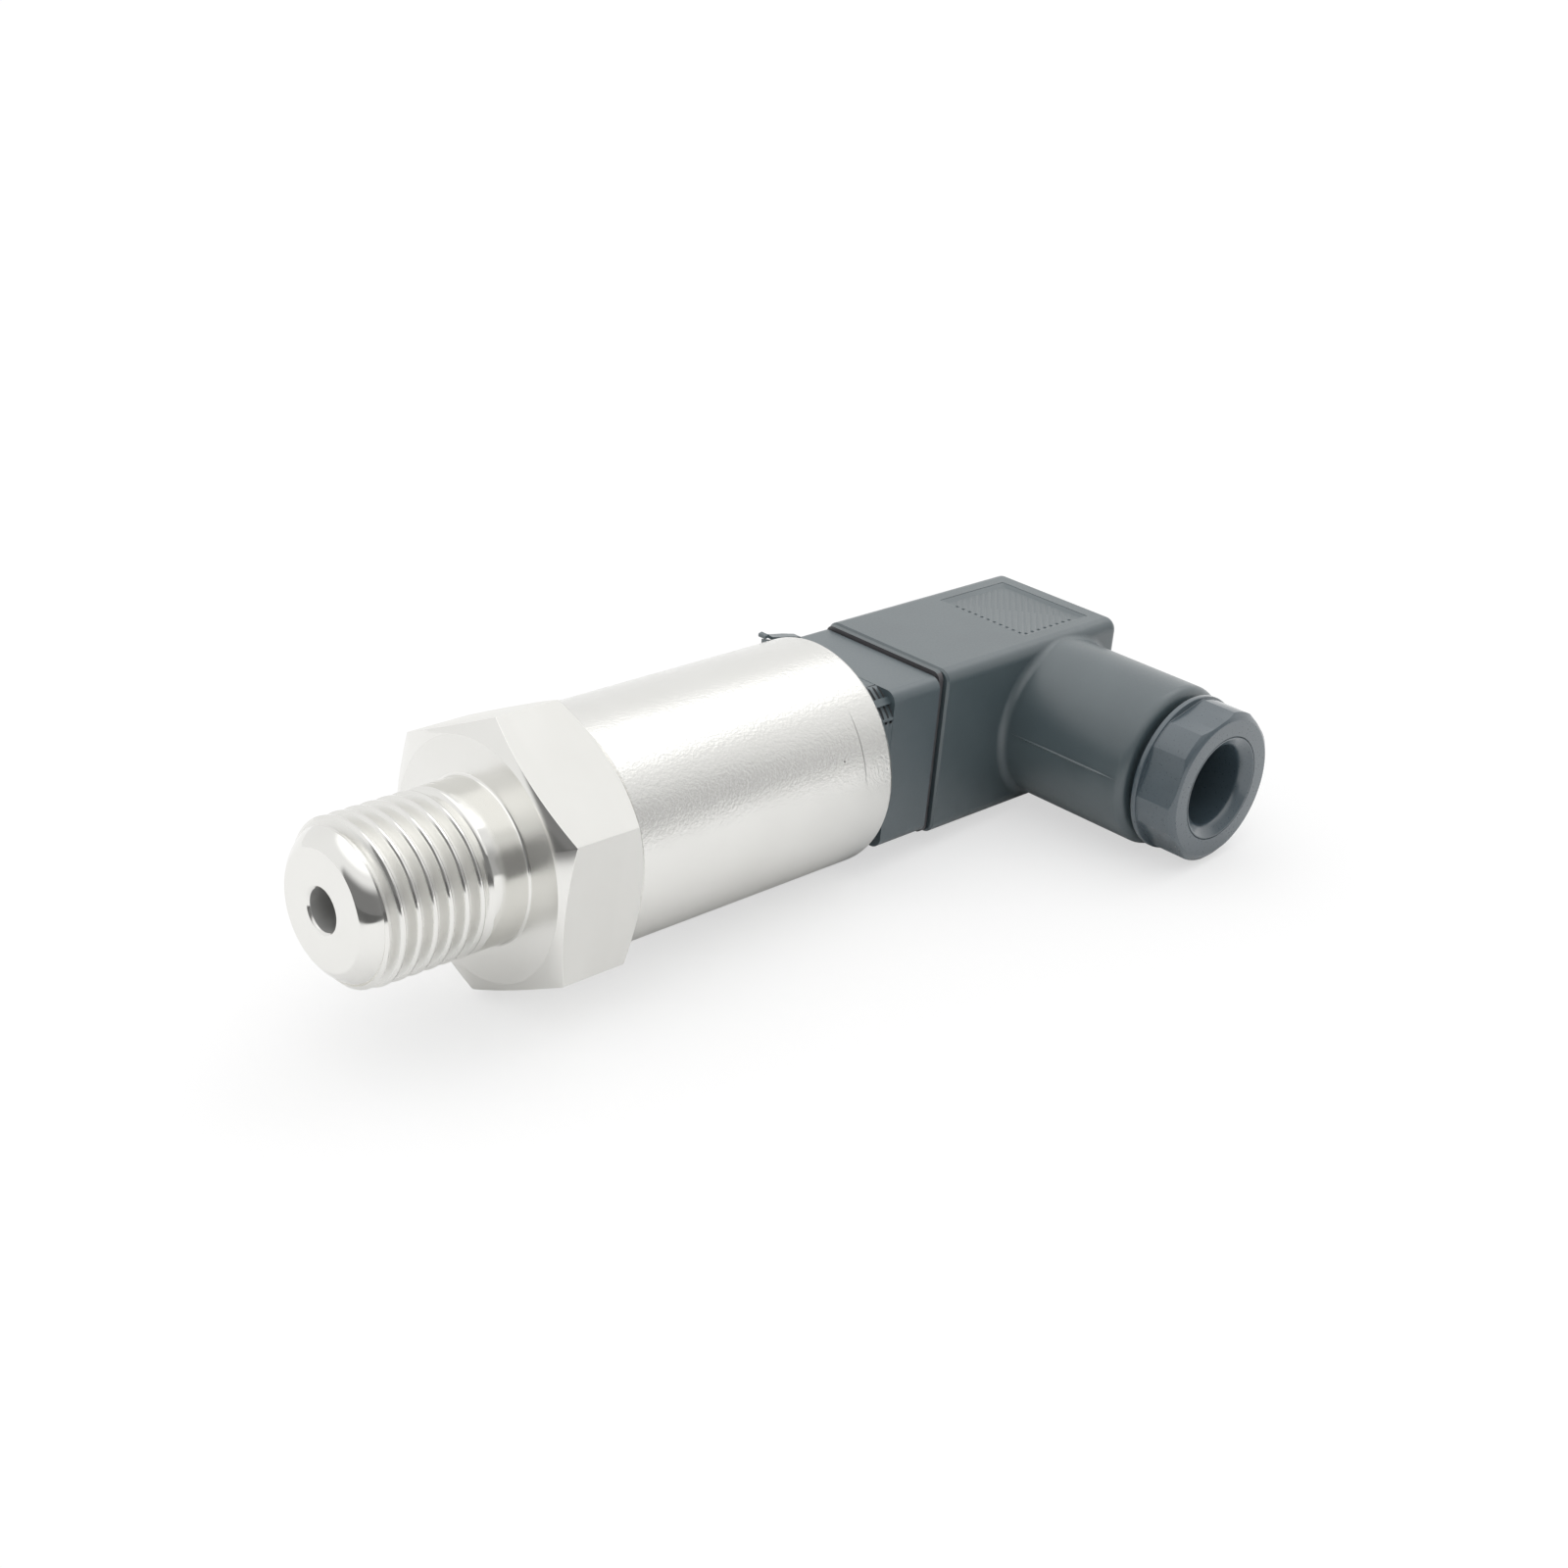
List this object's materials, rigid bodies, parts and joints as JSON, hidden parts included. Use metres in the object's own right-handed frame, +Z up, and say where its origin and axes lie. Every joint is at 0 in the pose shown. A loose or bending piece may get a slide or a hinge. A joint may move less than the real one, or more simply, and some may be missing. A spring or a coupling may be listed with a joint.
{
  "type": "pressure transmitter",
  "caption": "Stainless pressure transmitter with a threaded hexagonal port, a round sleeve and a square plug with an angled cable gland.",
  "frame": {"origin": "on the main axis, in the plane of the hexagon's front sealing face", "axes": "+X along the main axis from the threaded nose to the plug; the cable gland points along -Y; +Z is up as the transmitter lies"},
  "size_m": [0.0862, 0.0387, 0.0254],
  "materials": {
    "port_steel": "bright turned",
    "sleeve_steel": "fine brushed",
    "inner_steel": "turned",
    "base_plastic": "satin moulded",
    "plug_plastic": "satin moulded",
    "nut_plastic": "satin moulded",
    "carrier_plastic": "moulded",
    "gasket_rubber": "matt",
    "seal_rubber": "matt",
    "contact_brass": "tinned",
    "insert_brass": "plain",
    "screw_steel": "zinc plated",
    "board_laminate": "lacquered",
    "chip_body": "moulded",
    "capacitor_body": "ceramic"
  },
  "bodies": {
    "transmitter": {"pressure_port": "port_steel", "sensor_cell": "inner_steel", "cell_seal": "seal_rubber", "clamp_ring": "inner_steel", "circuit_board": "board_laminate", "signal_chip": "chip_body", "regulator_chip": "chip_body", "board_capacitors": "capacitor_body", "end_board": "board_laminate", "body_sleeve": "sleeve_steel", "connector_base": "base_plastic", "base_seal": "seal_rubber", "threaded_insert": "insert_brass", "plug_gasket": "gasket_rubber", "contact_blade_1": "contact_brass", "contact_blade_2": "contact_brass", "contact_blade_3": "contact_brass", "contact_blade_ground": "contact_brass"},
    "plug": {"plug_housing": "plug_plastic", "contact_carrier": "carrier_plastic", "terminal_screws": "screw_steel", "gland_seal": "seal_rubber", "socket_contact_1": "contact_brass", "socket_contact_2": "contact_brass", "socket_contact_3": "contact_brass", "socket_contact_ground": "contact_brass"},
    "screw_lift": {"screw_seal": "seal_rubber"},
    "fixing_screw": {"fixing_screw": "screw_steel"},
    "gland_feed": {"gland_washer": "inner_steel"},
    "gland_nut": {"gland_nut": "nut_plastic"}
  },
  "joints": [
    {"name": "plug_pull", "type": "slide", "parent": "transmitter", "child": "plug", "axis": [1, 0, 0], "range_m": [0, 0.03]},
    {"name": "screw_travel", "type": "slide", "parent": "plug", "child": "screw_lift", "axis": [1, 0, 0], "range_m": [0, 0.00315]},
    {"name": "screw_turn", "type": "hinge", "parent": "screw_lift", "child": "fixing_screw", "pos_m": [0.0697, 0, 0], "axis": [1, 0, 0], "range_deg": [0, 2521]},
    {"name": "gland_travel", "type": "slide", "parent": "plug", "child": "gland_feed", "axis": [0, -1, 0], "range_m": [0, 0.00508]},
    {"name": "gland_turn", "type": "hinge", "parent": "gland_feed", "child": "gland_nut", "pos_m": [0.06345, -0.02285, 0], "axis": [0, -1, 0], "range_deg": [0, 1441]}
  ],
  "couplings": [
    {"joint": "screw_turn", "follows": "screw_travel", "rad_per_m": 13963},
    {"joint": "gland_turn", "follows": "gland_travel", "rad_per_m": 4947.4}
  ]
}
